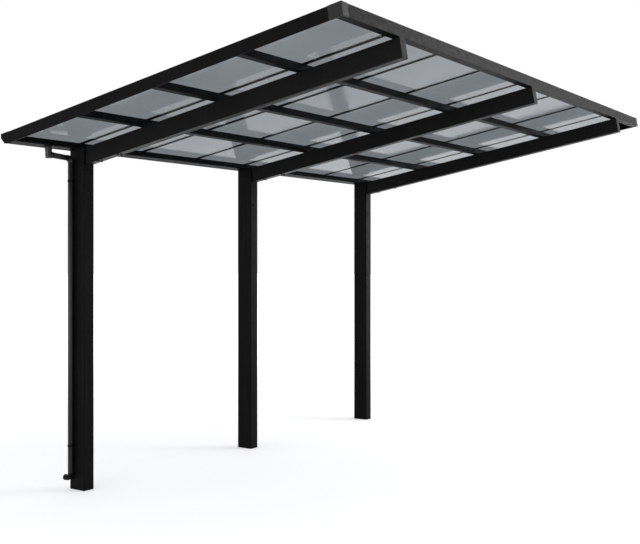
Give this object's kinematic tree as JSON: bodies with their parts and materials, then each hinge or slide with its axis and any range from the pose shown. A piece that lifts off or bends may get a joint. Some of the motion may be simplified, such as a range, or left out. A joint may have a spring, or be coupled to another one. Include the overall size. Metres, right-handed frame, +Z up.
{
  "type": "cantilever carport",
  "caption": "Open cantilever carport: a row of posts with sloping arms that carry a flat framed roof of smoked panes, with a gutter and downpipe on the low side.",
  "frame": {"origin": "centre of the middle post's foot, on the ground", "axes": "+X from the posts towards the roof's free edge, +Y along the row of posts from the end with the downpipe to the other end, +Z up"},
  "size_m": [2.8015, 4.954, 2.9725],
  "materials": {
    "frame_coat": "matt powder coat, near black",
    "end_cap": "satin powder coat, dark grey",
    "smoked_pane": "clear smoked sheet",
    "rain_pipe": "satin powder coat, near black"
  },
  "bodies": {
    "root": {"arm_back": "frame_coat", "arm_cap_back": "end_cap", "arm_cap_front": "end_cap", "arm_cap_middle": "end_cap", "arm_front": "frame_coat", "arm_middle": "frame_coat", "corner_free_back": "end_cap", "corner_free_front": "end_cap", "corner_gutter_back": "end_cap", "corner_gutter_front": "end_cap", "downpipe": "rain_pipe", "downpipe_shoe": "rain_pipe", "drain_branch": "rain_pipe", "drain_elbow": "rain_pipe", "glazing_bar_1": "frame_coat", "glazing_bar_2": "frame_coat", "glazing_bar_3": "frame_coat", "glazing_bar_4": "frame_coat", "glazing_bar_5": "frame_coat", "glazing_bar_6": "frame_coat", "glazing_bar_7": "frame_coat", "gutter": "frame_coat", "gutter_outlet": "rain_pipe", "pane_1": "smoked_pane", "pane_2": "smoked_pane", "pane_3": "smoked_pane", "pane_4": "smoked_pane", "pane_5": "smoked_pane", "pane_6": "smoked_pane", "pane_7": "smoked_pane", "pane_8": "smoked_pane", "pipe_clip_high": "rain_pipe", "pipe_clip_low": "rain_pipe", "post_back": "frame_coat", "post_front": "frame_coat", "post_middle": "frame_coat", "purlin_high": "frame_coat", "purlin_low": "frame_coat", "purlin_middle": "frame_coat", "rail_back": "frame_coat", "rail_free_edge": "frame_coat", "rail_front": "frame_coat"}
  },
  "joints": []
}
